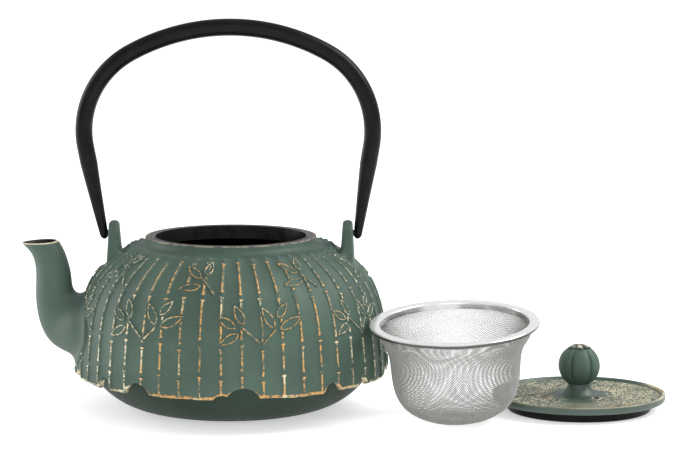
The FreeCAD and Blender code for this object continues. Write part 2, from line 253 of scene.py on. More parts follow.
class Look:
    """A principled material with short calls for its procedural nodes."""

    def __init__(self, name, colour, roughness, metallic=0.0, **sockets):
        self.material = bpy.data.materials.new(name)
        self.material.use_nodes = True
        self.tree = self.material.node_tree
        self.shader = self.tree.nodes["Principled BSDF"]
        self.shader.inputs["Base Color"].default_value = (*colour, 1)
        self.shader.inputs["Roughness"].default_value = roughness
        self.shader.inputs["Metallic"].default_value = metallic
        for key, value in sockets.items():
            self.shader.inputs[key.replace("_", " ")].default_value = value
        self.place = self.node("ShaderNodeTexCoord").outputs["Object"]

    def node(self, kind, **settings):
        made = self.tree.nodes.new(kind)
        for key, value in settings.items():
            setattr(made, key, value)
        return made

    def link(self, source, target):
        self.tree.links.new(source, target)

    def noise(self, per_mm, detail=3.0, roughness=0.55):
        n = self.node("ShaderNodeTexNoise")
        n.inputs["Scale"].default_value = per_mm / MM
        n.inputs["Detail"].default_value = detail
        n.inputs["Roughness"].default_value = roughness
        self.link(self.place, n.inputs["Vector"])
        return n.outputs["Fac"]

    def layer(self, name):
        return self.node("ShaderNodeAttribute", attribute_name=name).outputs["Fac"]

    def span(self, source, low, high, to_low=0.0, to_high=1.0):
        n = self.node("ShaderNodeMapRange", interpolation_type="SMOOTHSTEP")
        self.link(source, n.inputs["Value"])
        for key, value in zip(("From Min", "From Max", "To Min", "To Max"),
                              (low, high, to_low, to_high)):
            n.inputs[key].default_value = value
        return n.outputs["Result"]

    def maths(self, operation, a, b):
        n = self.node("ShaderNodeMath", operation=operation, use_clamp=True)
        for socket, value in zip(n.inputs, (a, b)):
            if isinstance(value, (int, float)):
                socket.default_value = value
            else:
                self.link(value, socket)
        return n.outputs["Value"]

    def mix(self, factor, a, b):
        n = self.node("ShaderNodeMix", data_type="RGBA")
        self.link(factor, n.inputs["Factor"])
        for socket, value in ((n.inputs[6], a), (n.inputs[7], b)):
            if isinstance(value, tuple):
                socket.default_value = (*value, 1)
            else:
                self.link(value, socket)
        return n.outputs[2]

    def colour(self, source):
        self.link(source, self.shader.inputs["Base Color"])

    def rough(self, source):
        self.link(source, self.shader.inputs["Roughness"])

    def bump(self, source, depth_mm, strength=1.0):
        n = self.node("ShaderNodeBump")
        n.inputs["Strength"].default_value = strength
        n.inputs["Distance"].default_value = depth_mm * MM
        self.link(source, n.inputs["Height"])
        self.link(n.outputs["Normal"], self.shader.inputs["Normal"])


SAGE = (0.050, 0.086, 0.064)
SAGE_DARK = (0.036, 0.060, 0.045)
SAGE_PALE = (0.064, 0.104, 0.080)
GOLD = (0.62, 0.33, 0.10)
CREAM = (0.76, 0.68, 0.46)
# Painted shade: the sage body darkened for the bowl, which sits under the skirt and faces down.
BOWL_GREEN_SHADED = (0.022, 0.037, 0.026)


def green_iron(name, gilded, grain=0.05, body=SAGE, shine=0.35):
    look = Look(name, body, 0.55, Specular_IOR_Level=shine)
    patches = look.span(look.noise(0.035, 3), 0.35, 0.68)
    base = look.mix(patches, body, tuple(1.28 * c for c in body))
    speck = look.span(look.noise(1.6, 2), 0.52, 0.78)
    base = look.mix(look.maths("MULTIPLY", speck, 0.5), base, tuple(0.7 * c for c in body))
    if gilded:
        worn = look.span(look.noise(0.5, 5, 0.8), 0.36, 0.60, 0.1, 1.0)
        faded = look.maths("MULTIPLY", worn, look.span(look.noise(0.022, 2), 0.38, 0.60, 0.72, 1.0))
        amount = look.span(look.maths("MULTIPLY", look.layer("gold"), faded), 0.22, 0.56)
        # Random gold-to-cream tone, plus a painted side sheen that turns the gilt cream at the dome's sides.
        tone_and_sheen = look.maths("ADD", look.span(look.noise(0.05, 3), 0.52, 0.70), look.layer("pale"))
        paint = look.mix(tone_and_sheen, GOLD, CREAM)
        base = look.mix(amount, base, paint)
        look.link(look.maths("MULTIPLY", amount, 0.2), look.shader.inputs["Metallic"])
        look.rough(look.span(amount, 0.1, 0.9, 0.55, 0.40))
    else:
        look.rough(look.span(look.noise(0.4, 3), 0.3, 0.7, 0.50, 0.60))
    look.colour(base)
    look.bump(look.noise(2.2, 4, 0.6), grain, 0.6)
    return look.material


def black_enamel(name, shine):
    look = Look(name, (0.008, 0.008, 0.008), 0.25, Specular_IOR_Level=shine)
    cloud = look.span(look.noise(0.08, 3), 0.3, 0.7)
    look.colour(look.mix(cloud, (0.006, 0.006, 0.006), (0.012, 0.011, 0.010)))
    look.rough(look.span(look.noise(0.15, 2), 0.3, 0.7, 0.26, 0.36))
    look.bump(look.noise(0.06, 2), 0.25, 0.4)
    return look.material


def bail_black():
    look = Look("bail_black", (0.006, 0.006, 0.006), 0.35, Specular_IOR_Level=0.13)
    cloud = look.span(look.noise(0.12, 3), 0.35, 0.7)
    look.colour(look.mix(cloud, (0.003, 0.003, 0.003), (0.006, 0.006, 0.006)))
    look.rough(look.span(look.noise(0.8, 3), 0.3, 0.7, 0.28, 0.38))
    look.bump(look.noise(1.8, 3), 0.03, 0.5)
    return look.material


def polished_steel(name="steel_polished", shade=0.80, low=0.08, high=0.15, metallic=1.0):
    look = Look(name, (shade, shade, shade), low, metallic)
    look.colour(look.mix(look.span(look.noise(0.2, 2), 0.3, 0.7), (shade, shade * 0.99, shade * 0.95),
                         (shade * 0.90, shade * 0.88, shade * 0.83)))
    look.rough(look.span(look.noise(1.2, 3), 0.3, 0.7, low, high))
    look.bump(look.noise(3.0, 2), 0.01, 0.3)
    return look.material


def gilded_iron():
    look = Look("gilded_iron", SAGE_DARK, 0.5)
    base = look.mix(look.span(look.noise(1.1, 3), 0.35, 0.65), SAGE_DARK, (0.12, 0.14, 0.10))
    gilt = look.maths("MULTIPLY", look.layer("gold"), look.span(look.noise(0.9, 3), 0.3, 0.55))
    look.colour(look.mix(look.layer("line"), look.mix(gilt, base, CREAM), (0.012, 0.018, 0.014)))
    look.bump(look.noise(2.0, 3), 0.06, 0.6)
    return look.material


def stud_metal():
    look = Look("stud_metal", (0.20, 0.13, 0.09), 0.45, 0.4)
    look.colour(look.mix(look.span(look.noise(1.0, 3), 0.35, 0.65), (0.26, 0.18, 0.12), (0.10, 0.07, 0.05)))
    look.bump(look.noise(2.0, 3), 0.05, 0.6)
    return look.material


def white_floor():
    look = Look("studio_floor", (0.92, 0.92, 0.92), 0.9, Specular_IOR_Level=0.1, Emission_Strength=0.5)
    look.shader.inputs["Emission Color"].default_value = (1, 1, 1, 1)
    return look.material


GREEN = green_iron("green_iron", True)
GREEN_PLAIN = green_iron("green_iron_smooth", False, 0.03)
# Painted shade: a darker copy of the green iron for the bowl under the skirt.
GREEN_BOWL_SHADED = green_iron("green_iron_bowl_shaded", False, 0.08, BOWL_GREEN_SHADED, 0.15)
ENAMEL = black_enamel("black_enamel", 0.65)
ENAMEL_DULL = black_enamel("black_enamel_dull", 0.08)
BAIL = bail_black()
STEEL = polished_steel()
WIRE = polished_steel("steel_mesh", 0.38, 0.45, 0.55, 0.8)
GILT = gilded_iron()
STUD = stud_metal()


# ---- the dome's side as a curve, and its bamboo relief ----

meridian = np.concatenate([through(SIDE, 400), through(COLLAR, 60)[1:], [[NECK_R, NECK_TOP - 0.3]]])
run = np.concatenate([[0], np.cumsum(np.linalg.norm(np.diff(meridian, axis=0), axis=1))])
slope = np.gradient(meridian, run, axis=0)


def side_at(s):
    """Radius, height and outward normal (r, z) at a distance up the side."""
    r = np.interp(s, run, meridian[:, 0])
    z = np.interp(s, run, meridian[:, 1])
    nr = np.interp(s, run, slope[:, 1])
    nz = -np.interp(s, run, slope[:, 0])
    size = np.hypot(nr, nz)
    return r, z, nr / size, nz / size


def off_dome(points):
    """Distance of points outside the dome's plain surface, negative inside."""
    flat = points.reshape(-1, 3)
    rz = np.stack([np.hypot(flat[:, 0], flat[:, 1]), flat[:, 2]], axis=-1)
    curve = meridian[::3]
    gap = rz[:, None, :] - curve[None, :, :]
    nearest = np.argmin((gap ** 2).sum(-1), axis=1)
    nr, nz = side_at(run[::3][nearest])[2:]
    best = gap[np.arange(len(flat)), nearest]
    return (best[:, 0] * nr + best[:, 1] * nz).reshape(points.shape[:-1])


def ridge(distance, half, height):
    """Rounded bead of that half width across a distance from its middle."""
    return height * np.sqrt(np.clip(1 - (distance / half) ** 2, 0, 1))


def shallower(s):
    """Factor that takes the relief down towards the collar."""
    return 1 - 0.4 * smooth(s, 64, 80)


def culm_relief(bearing, s, r):
    """Bamboo culms with their nodes: relief height in millimetres."""
    turn = (bearing - FIRST_CULM) / (360.0 / CULMS)
    number = np.round(turn)
    across = np.abs(turn - number) * math.radians(360.0 / CULMS) * r
    odd = number % 2
    # Every culm's nodes sit a little higher or lower than the next one's.
    wander = 0.7 * np.sin(number * 2.4) + 0.5 * np.sin(number * 5.1 + 1)
    stem = ridge(across, CULM_HALF, CULM_HEIGHT)
    relief = stem
    for level, step in NODES:
        middle = level + step * odd + 0.6 * wander
        up = s - middle
        cut = smooth(np.abs(up), NODE_HALF - 0.7, NODE_HALF + 0.1)
        relief = relief * (0.2 + 0.8 * cut)
        knob = ridge(np.hypot(across, up - NODE_HALF - 0.4), 1.15, 1.05)
        bar = ridge(np.hypot(np.maximum(across - 0.75, 0), up + NODE_HALF), 0.65, 1.0)
        relief = np.maximum(relief, np.maximum(knob, bar))
    top = CULM_TOP + 0.9 * odd
    relief = np.where(s > top, np.minimum(relief, stem * 0.35), relief)
    return relief * shallower(s) * (1 - smooth(s, 81.0, 84.0))


def fluting(bearing, s):
    """The soft swell of each culm, strongest under the collar."""
    wave = 0.5 + 0.5 * np.cos(np.radians((bearing - FIRST_CULM) * CULMS))
    return wave * (FLUTE + 0.25 * smooth(s, 70, 79)) * (1 - smooth(s, 81, 85))


# Leaves of one spray, in millimetres from the foot of its stem: base, tip, half width.
LOW_SPRAY = [((-13.0, 7.3), (-21.8, 12.7), 1.9), ((-8.9, 9.2), (-13.2, 18.0), 2.0),
             ((-11.6, 4.3), (-20.6, -0.7), 1.9), ((6.6, 7.0), (1.0, 16.6), 2.1),
             ((8.7, 11.9), (14.4, 18.6), 1.8), ((9.7, 6.2), (21.2, 11.4), 2.1)]
LOW_STEMS = [((-9.2, 7.0), (-1.0, 0.0)), ((6.8, 5.6), (0.8, -0.6))]
HIGH_SPRAY = [((-4.0, 10.5), (-13.4, 18.2), 2.2), ((-1.2, 12.2), (1.2, 22.2), 2.2),
              ((-3.4, 4.8), (-14.6, 2.6), 2.0)]
HIGH_STEMS = [((-2.6, 9.6), (4.4, 0.0))]
SPRAY_STEP = 45.0
# Each row of sprays: bearing of one, height up the side, the dome's radius there, leaves, stems.
SPRAYS = [(13.4, 29.6, 81.5, LOW_SPRAY, LOW_STEMS), (-8.0, 56.0, 69.5, HIGH_SPRAY, HIGH_STEMS)]


def spray_relief(bearing, s, middle, level, radius, leaves, stems):
    """Leaf sprays that repeat round the dome: relief height, and where they cover the culms."""
    turn = (bearing - middle) / SPRAY_STEP
    number = np.round(turn)
    x = (turn - number) * math.radians(SPRAY_STEP) * radius
    y = s - level - 1.1 * np.sin(number * 2.1)
    grow = 1 + 0.06 * np.sin(number * 3.7 + 1)
    x = x / grow
    y = y / grow
    relief = np.zeros_like(x)
    cover = np.zeros_like(x)
    for base, tip, half in leaves:
        axis = np.subtract(tip, base)
        length = np.hypot(*axis)
        along = ((x - base[0]) * axis[0] + (y - base[1]) * axis[1]) / length ** 2
        across = np.abs((x - base[0]) * axis[1] - (y - base[1]) * axis[0]) / length
        inside_run = np.clip(along, 0, 1)
        width = half * np.sin(math.pi * inside_run ** 0.8) ** 0.9
        past = np.maximum(np.abs(along - 0.5) - 0.5, 0) * length
        edge = np.hypot(across - width, past)
        inner = (across < width) & (past == 0)
        relief = np.maximum(relief, ridge(edge, 0.46, 0.95))
        relief = np.maximum(relief, np.where(inner, 0.30 + ridge(across, 0.45, 0.35) * (along < 0.7), 0))
        cover = np.maximum(cover, np.where(inner, 1, 1 - smooth(edge, 0.5, 1.5)))
    for a, b in stems:
        axis = np.subtract(b, a)
        t = np.clip(((x - a[0]) * axis[0] + (y - a[1]) * axis[1]) / (axis @ axis), 0, 1)
        away = np.hypot(x - a[0] - t * axis[0], y - a[1] - t * axis[1])
        relief = np.maximum(relief, ridge(away, 0.6, 0.9))
        cover = np.maximum(cover, 1 - smooth(away, 0.5, 1.3))
    return relief, cover


def arch_height(bearing):
    """How far the skirt's edge is lifted at a bearing."""
    lift = 0.35 + 0.3 * np.sin(np.radians(bearing) * 9) + 0.2 * np.sin(np.radians(bearing) * 23 + 1)
    for centre, width, height in ARCHES:
        away = (bearing - centre + 180) % 360 - 180
        reach = np.abs(away) * math.radians(1) * SIDE[0][0] / (width / 2)
        lift = np.maximum(lift, height * np.clip(1 - (0.92 * reach) ** 2, 0, 1) ** 0.6)
    return lift


def plain_zone(points):
    """0 on the plain metal round the spout's root and the lugs, 1 elsewhere."""
    x, y, z = points[..., 0], points[..., 1], points[..., 2]
    root = np.hypot(y / ROOT_HALF[0], (z - ROOT_Z) / ROOT_HALF[1]) + 5 * (x > 0)
    lug = np.maximum(np.abs(y) / LUG_BASE_HALF, np.abs(np.abs(x) - LUG_MID_X) / 5)
    return smooth(root, 0.98, 1.10) * smooth(lug, 1.1, 1.5)


def make_dome():
    """The pot's side from inside its skirt to the collar, with relief and gilding."""
    bearing = FIRST_CULM + np.arange(COLUMNS) * 360.0 / COLUMNS
    edge = arch_height(bearing)
    # Rows from the inside of the skirt, round its edge, to the collar: (s above the edge, depth).
    rim = [(9.0, SKIRT_WALL), (5.0, SKIRT_WALL), (1.6, SKIRT_WALL), (0.6, SKIRT_WALL - 0.25),
           (0.1, SKIRT_WALL - 0.9), (-0.05, 1.6), (0.05, 0.85), (0.3, 0.35), (0.7, 0.05)]
    rows = []
    depth = []
    for up, inset in rim:
        rows.append(up + edge * max(0, 1 - up / ARCH_FADE))
        depth.append(np.full(COLUMNS, inset))
    steps = np.concatenate([np.arange(1.1, COLLAR_START - 0.2, ROW_STEP),
                            np.linspace(COLLAR_START, run[-1], 20)])
    for up in steps:
        rows.append(up + edge * max(0, 1 - up / ARCH_FADE))
        depth.append(np.zeros(COLUMNS))
    s = np.array(rows)
    depth = np.array(depth)
    theta = np.broadcast_to(bearing, s.shape)
    r, z, nr, nz = side_at(s)
    relief = culm_relief(theta, s, r)
    for spray in SPRAYS:
        leaves, cover = spray_relief(theta, s, *spray)
        relief = np.maximum(relief * (1 - cover), leaves)
    from_edge = s - edge * np.clip(1 - s / ARCH_FADE, 0, 1)
    bead = ridge(from_edge - 0.9, 0.8, 0.55)
    keep = plain_zone(around(r, z, theta))
    relief = np.maximum(relief * keep, bead)
    relief[:len(rim)] = 0
    off = relief + fluting(theta, s) * keep * smooth(from_edge, 0.8, 4.0) - depth
    points = around(r + off * nr, z + off * nz, theta)
    # Gilt on all that is raised, less of it high up, and along the bead; at the sides a painted sheen makes
    # it paler and thinner.
    full = relief / shallower(s)
    gold = 0.72 * smooth(full, 0.55, 0.85) + 0.28 * smooth(full, 0.90, 0.97)
    gold = gold * (1 - 0.2 * smooth(s, 60, 70)) * (1 - 0.5 * smooth(s, 75, 78))
    gold = np.maximum(gold, 1.1 * ridge(from_edge - 0.9, 1.15, 1.0) * (from_edge < 2.3))
    # Painted highlight: the gilt turns paler and thinner towards the dome's sides.
    pale = smooth(np.abs(np.sin(np.radians(theta - 6))), 0.45, 0.95)
    gold = gold * (1 - 0.2 * pale)
    faces = grid_faces(len(s), COLUMNS)
    middle = points.reshape(-1, 3)[faces].mean(axis=1)
    into_spout = np.hypot(middle[:, 1] / BORE_HALF[0], (middle[:, 2] - BORE_Z) / BORE_HALF[1])
    bore = (middle[:, 0] < 0) & (into_spout < 1)
    return piece("pot_dome", points, faces[~bore], GREEN, "pot", ["pot_body"], "green_iron",
                 gold=np.clip(gold, 0, 1), pale=pale)


def make_lip():
    """Rounded lip ring between the collar and the enamelled mouth."""
    profile = rounded([(NECK_R, NECK_TOP - 0.6, 0), (NECK_R - 0.1, NECK_TOP, 0.8),
                       (MOUTH_R + 0.2, NECK_TOP, 1.6), (MOUTH_R + 0.1, NECK_TOP - 5, 0)])
    cols = 360
    points = turned(profile, cols)
    outer = np.exp(-((profile[:, 0] - NECK_R + 0.1) / 0.3) ** 2)
    gold = np.broadcast_to(outer[:, None], points.shape[:2])
    worn = np.broadcast_to(smooth(profile[:, 0], MOUTH_R + 0.4, MOUTH_R + 2.2)[:, None], points.shape[:2])
    look = Look("worn_lip", SAGE_DARK, 0.45)
    rub = look.maths("MULTIPLY", look.layer("worn"), look.span(look.noise(0.5, 4), 0.25, 0.6, 0.4, 1.0))
    base = look.mix(rub, (0.008, 0.008, 0.008), (0.050, 0.044, 0.041))
    gilt = look.maths("MULTIPLY", look.layer("gold"), look.span(look.noise(0.25, 3), 0.42, 0.58, 0.1, 0.9))
    look.colour(look.mix(gilt, base, (0.40, 0.32, 0.22)))
    look.rough(look.span(look.layer("worn"), 0.1, 0.9, 0.25, 0.5))
    look.bump(look.noise(0.8, 4), 0.08, 0.6)
    return piece("pot_lip", points, grid_faces(len(profile), cols), look.material,
                 "pot", ["pot_body"], "green_iron", gold=gold, worn=worn)


def make_bowl():
    """The smooth bowl below the skirt, with the foot, in a darker green that is painted shade."""
    foot = rounded([(0, 0.02, 0), (FOOT_R, 0.02, 2.5), (FOOT_R + 8, 2.2, 0)])[:-1]
    profile = np.concatenate([foot, through(BOWL, 90)[8:]])
    cols = 288
    return piece("pot_bowl", turned(profile, cols), grid_faces(len(profile), cols), GREEN_BOWL_SHADED,
                 "pot", ["pot_body"], "green_iron_smooth")


# ---- spout and lugs, flared into the dome ----

def flared(points, centre, reach):
    """Pushes points near the dome outwards from their centre line, as a cast fillet."""
    away = off_dome(points)
    t = np.clip(away / reach, 0, 1)
    push = reach * (1 - np.sqrt(np.clip(1 - (1 - t) ** 2, 0, 1)))
    out = points - centre
    out = out / np.maximum(np.linalg.norm(out, axis=-1, keepdims=True), 1e-6)
    return points + out * push[..., None]


def make_spout():
    """Spout with its rolled lip and the start of its channel."""
    flat = np.array([[*a, *b, w] for a, b, w in SPOUT])
    rows = 90
    cols = 96
    path = through(flat, rows)
    angle = np.arange(cols) * 2 * math.pi / cols
    inner = np.stack([path[:, 0], 0 * path[:, 0], path[:, 1]], axis=-1)
    outer = np.stack([path[:, 2], 0 * path[:, 0], path[:, 3]], axis=-1)
    middle = (inner + outer) / 2
    half = np.linalg.norm(inner - outer, axis=-1) / 2
    long_axis = (inner - outer) / (2 * half[:, None])
    up = np.gradient(middle, axis=0)
    up = up / np.linalg.norm(up, axis=-1, keepdims=True)

    def ring(i, inset, lift=0.0):
        beak = 1 + 0.16 * smooth(i, 60, rows - 1) * np.cos(angle)
        a = (half[i] - inset) * np.cos(angle)
        b = (path[i, 4] - inset) * np.sin(angle) * beak
        return (middle[i] + a[:, None] * long_axis[i] + b[:, None] * np.array([0, 1, 0])
                + lift * up[i])

    outside = np.array([ring(i, 0) for i in range(rows)])
    outside = flared(outside, middle[:, None, :], 5.0)
    lip = [ring(rows - 1, SPOUT_LIP / 2 * (1 - math.cos(a)), 0.9 * math.sin(a))
           for a in np.linspace(0, math.pi, 9)[1:]]
    lowest = 10
    channel = [ring(i, SPOUT_WALL - (SPOUT_WALL - SPOUT_LIP) * smooth(i, 70, rows - 1))
               for i in range(rows - 2, lowest - 1, -2)]
    end = channel[-1] + (np.array([CHANNEL_START[0], 0, CHANNEL_START[1]]) - middle[lowest])
    points = np.concatenate([outside, lip, channel, [end]])
    # Gilt on the lip, and dark inside it.
    level = np.zeros(len(points))
    level[rows:rows + 4] = (0.8, 1.0, 0.8, 0.5)
    dark = np.zeros(len(points))
    dark[rows + 4] = 0.6
    dark[rows + 5:] = 1
    gold = np.repeat(level[:, None], cols, axis=1)
    hollow = np.repeat(dark[:, None], cols, axis=1)
    look = Look("green_iron_spout", SAGE, 0.55, Specular_IOR_Level=0.35)
    base = look.mix(look.span(look.noise(0.035, 3), 0.35, 0.68), SAGE, SAGE_PALE)
    gilt = look.maths("MULTIPLY", look.layer("gold"), look.span(look.noise(0.5, 3), 0.25, 0.5, 0.5, 1.0))
    base = look.mix(gilt, base, CREAM)
    look.colour(look.mix(look.layer("hollow"), base, (0.020, 0.016, 0.013)))
    look.bump(look.noise(2.2, 4, 0.6), 0.03, 0.6)
    return piece("spout_casting", points, grid_faces(len(points), cols)[:, ::-1], look.material,
                 "pot", ["spout"], "green_iron_smooth", gold=gold, hollow=hollow)


def make_lug(name, side):
    """Ear on the pot that holds the bail's pin; side is -1 for the left and 1 for the right."""
    top = PIVOT_Z + LUG_R
    crown = top - LUG_R * np.cos(np.linspace(0, 1, 28)[1:] * math.pi / 2)
    z = np.sort(np.concatenate([np.linspace(LUG_LOW, PIVOT_Z, 48), crown]))
    z[-1] = top - 0.004
    frac = np.clip((z - LUG_TAPER_Z) / (top - LUG_TAPER_Z), 0, 1)
    x_in = LUG_IN[0] + (LUG_IN[1] - LUG_IN[0]) * frac
    x_out = LUG_OUT[0] + (LUG_OUT[1] - LUG_OUT[0]) * frac
    width = LUG_BASE_HALF + (LUG_R - LUG_BASE_HALF) * smooth(z, LUG_WAIST_Z, PIVOT_Z)
    width = np.where(z > PIVOT_Z, np.sqrt(np.clip(LUG_R ** 2 - (z - PIVOT_Z) ** 2, 0, None)), width)
    near_top = np.clip((z - top + LUG_TOP_ROUND) / LUG_TOP_ROUND, 0, 1)
    thick = (x_out - x_in) / 2 * np.sqrt(np.clip(1 - near_top ** 2, 0, 1))
    angle = np.arange(72) * 2 * math.pi / 72
    power = 0.4     # a squared-off oval
    cx = np.sign(np.cos(angle)) * np.abs(np.cos(angle)) ** power
    cy = np.sign(np.sin(angle)) * np.abs(np.sin(angle)) ** power
    centre = np.stack([side * (x_in + x_out) / 2, 0 * z, z], axis=-1)[:, None, :]
    shape = np.stack([thick[:, None] * cx, width[:, None] * cy, 0 * z[:, None] * cx], axis=-1)
    # A wide fillet on the side towards the pot's middle, and a narrow one elsewhere.
    inner = 0.5 - 0.5 * np.sign(shape[..., 0] * side + 0.2 * thick[:, None])
    reach = 0.8 + 2.0 * inner
    points = flared(centre + shape, centre, reach)
    faces = grid_faces(len(z), len(angle))
    return piece(name, points, faces, GREEN_PLAIN, "pot",
                 ["lug_left" if side < 0 else "lug_right"], "green_iron_smooth")


# ---- bail ----

def tube(path, radius, across, sides, crease):
    """Rings round a path in the XZ plane; across is the path's in-plane normal."""
    angle = np.arange(sides) * 2 * math.pi / sides
    swell = 1 + crease * np.exp(-((np.abs(np.abs(angle - math.pi) - math.pi / 2)) / 0.16) ** 2)
    r = radius[:, None] * swell[None, :]
    return (path[:, None, :] + (r * np.cos(angle))[..., None] * across[:, None, :]
            + (r * np.sin(angle))[..., None] * np.array([0, 1, 0]))


def make_bail():
    """Bow with a flat crown, round corners and tapered legs, and a pin at each leg's end."""
    def arc_points(centre, radius, start, end, count):
        a = np.radians(np.linspace(start, end, count))
        return np.stack([centre[0] + radius * np.sin(a), centre[1] + radius * np.cos(a)], axis=-1)

    crown_centre = np.array([0, CROWN_Z - CROWN_R])
    half = math.radians(CROWN_HALF)
    corner_centre = crown_centre + (CROWN_R - CORNER_R) * np.array([math.sin(half), math.cos(half)])
    crown = arc_points(crown_centre, CROWN_R, 0, CROWN_HALF, 40)
    corner = arc_points(corner_centre, CORNER_R, CROWN_HALF, 90 + LEG_LEAN, 48)
    lean = math.radians(LEG_LEAN)
    taper = corner[-1] + TAPER_START * np.array([-math.sin(lean), -math.cos(lean)])
    end = np.array([LEG_END_X, PIVOT_Z])
    leg = np.linspace(taper, end, 40)
    straight = np.linspace(corner[-1], taper, 12)
    full = np.concatenate([crown, corner[1:], straight[1:]])
    right = np.concatenate([full, leg[1:]])
    thin = np.concatenate([np.full(len(full), BAIL_R), np.linspace(BAIL_R, LEG_END_R, len(leg))[1:]])
    along = (end - taper) / np.linalg.norm(end - taper)
    tip = np.linspace(0, 1, 10)[1:] * math.pi / 2
    right = np.concatenate([right, end + 1.4 * LEG_END_R * np.sin(tip)[:, None] * along])
    thin = np.concatenate([thin, LEG_END_R * np.maximum(np.cos(tip), 0.01)])
    flat = np.concatenate([right[::-1] * (-1, 1), right[1:]])
    rise = np.clip((flat[:, 1] - PIVOT_Z) / (CROWN_Z - PIVOT_Z), 0, 1)
    flat[:, 0] -= BOW_SWAY * np.sin(math.pi * rise)
    radius = np.concatenate([thin[::-1], thin[1:]])
    path = np.stack([flat[:, 0], 0 * flat[:, 0], flat[:, 1]], axis=-1)
    tangent = np.gradient(path, axis=0)
    tangent = tangent / np.linalg.norm(tangent, axis=-1, keepdims=True)
    across = np.stack([-tangent[:, 2], 0 * radius, tangent[:, 0]], axis=-1)
    sides = 40
    bow = tube(path, radius, across, sides, 0.035)
    points = [bow.reshape(-1, 3)]
    faces = [grid_faces(len(path), sides)]
    count = len(path) * sides
    pin_sides = 24
    for side in (-1, 1):
        x = np.array([LEG_END_X, 64, 61, PIN_END_X + 0.4, PIN_END_X, PIN_END_X])
        pin_r = 0.75 * PIN_R * np.array([1, 1, 1, 1, 0.85, 0.01])
        angle = np.arange(pin_sides) * 2 * math.pi / pin_sides * side
        pin = np.stack([side * x[:, None] + 0 * angle, pin_r[:, None] * np.cos(angle),
                        PIVOT_Z + pin_r[:, None] * np.sin(angle)], axis=-1)
        points.append(pin.reshape(-1, 3))
        faces.append(grid_faces(len(x), pin_sides) + count)
        count += len(x) * pin_sides
    return piece("bail_bow", np.concatenate(points), np.concatenate(faces), BAIL,
                 "bail", ["bail_handle"], "bail_black")


# ---- strainer basket ----

def basket_place():
    """The CAD's placing of the basket: leant back, set on the ground, moved aside."""
    about_x, about_y = (math.radians(t) for t in BASKET_TILT)
    lean = Matrix.Rotation(about_y, 4, "Y") @ Matrix.Rotation(about_x, 4, "X")
    lowest = turned(through(BELL, 200), 180, lean)[..., 2].min()
    rim_centre = lean @ Vector((0, 0, RIM_Z))
    return Matrix.Translation((BASKET_AT[0] - rim_centre.x, BASKET_AT[1] - rim_centre.y, -lowest)) @ lean


def make_rim(place):
    """Polished flange with a rolled edge and a short collar."""
    roll = RIM_OUT_R - RIM_ROLL_R
    a = np.linspace(90, -160, 22)
    bead = [(roll + RIM_ROLL_R * math.cos(math.radians(t)),
             RIM_Z - RIM_ROLL_R + RIM_ROLL_R * math.sin(math.radians(t))) for t in a]
    low = RIM_Z - COLLAR_DEPTH
    inside = rounded([(RIM_IN_R + 0.5, low, 0), (RIM_IN_R, low, 0.3), (RIM_IN_R - 0.1, RIM_Z - 0.1, 1.3),
                      (roll - 1.2, RIM_Z, 0)], 8)
    under_z = RIM_Z - RIM_T
    under = [(roll - 0.9, under_z), (RIM_IN_R + 1.1, under_z), (RIM_IN_R + 0.5, under_z - 0.5)]
    profile = np.concatenate([inside, bead, under])
    cols = 256
    points = turned(profile, cols, place)
    # Dark reflections in the polish: below the flange's edge, and in streaks down the collar.
    row = np.arange(len(profile))[:, None]
    bearing = np.radians(np.arange(cols) * 360.0 / cols)[None, :]
    below = smooth(row, len(inside) + 3, len(inside) + 7)
    streak = 0.5 + 0.5 * np.sin(5 * bearing + 1.2 * np.sin(2 * bearing + 0.5))
    collar = (1 - smooth(row, 6, 13)) * (0.15 + 0.85 * smooth(streak, 0.35, 0.8))
    shade = np.clip(below + 0.82 * collar, 0, 1)
    look = Look("steel_rim", (0.90, 0.90, 0.90), 0.16, 0.7)
    bright = look.mix(look.span(look.noise(0.2, 2), 0.3, 0.7), (0.98, 0.98, 0.97), (0.92, 0.92, 0.91))
    look.colour(look.mix(look.layer("shade"), bright, (0.08, 0.075, 0.07)))
    look.rough(look.span(look.noise(1.2, 3), 0.3, 0.7, 0.14, 0.20))
    look.bump(look.noise(3.0, 2), 0.01, 0.3)
    faces = grid_faces(len(profile), cols, closed=True)[:, ::-1]
    return piece("infuser_flange", points, faces, look.material,
                 "infuser", ["infuser_rim"], "steel_polished", sharp=40, shade=shade)


